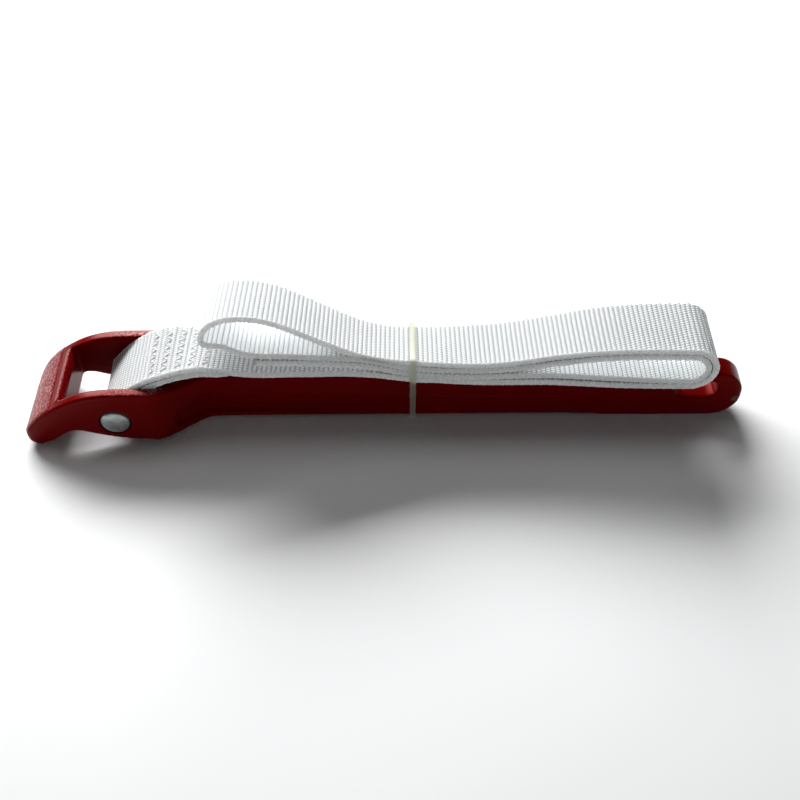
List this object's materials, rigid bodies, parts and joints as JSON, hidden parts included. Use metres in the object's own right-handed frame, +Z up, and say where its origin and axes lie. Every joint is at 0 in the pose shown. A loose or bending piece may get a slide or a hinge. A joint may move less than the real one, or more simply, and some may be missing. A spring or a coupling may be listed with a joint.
{
  "type": "strap wrench",
  "caption": "Forked cast handle with a woven strap riveted in its head, folded back on itself along the shank and held by a cable tie.",
  "frame": {"origin": "on the bench it lies on, midway along the handle and on its centre plane", "axes": "+X from the nose to the handle's end, +Y across the head along the rivet, +Z up from the bench"},
  "size_m": [0.298, 0.041, 0.0613],
  "materials": {
    "red_paint": "gloss",
    "plated_steel": "satin",
    "webbing": "woven",
    "thread": "satin",
    "nylon": "gloss"
  },
  "bodies": {
    "handle": {"handle": "red_paint", "strap_rivet": "plated_steel", "cable_tie": "nylon"},
    "strap": {"strap": "webbing", "strap_stitching": "thread"}
  },
  "joints": [
    {"name": "strap_swing", "type": "hinge", "parent": "handle", "child": "strap", "pos_m": [-0.1103, 0, 0.0132], "axis": [0, -1, 0], "range_deg": [0, 90], "deforming": ["cable_tie"]}
  ]
}
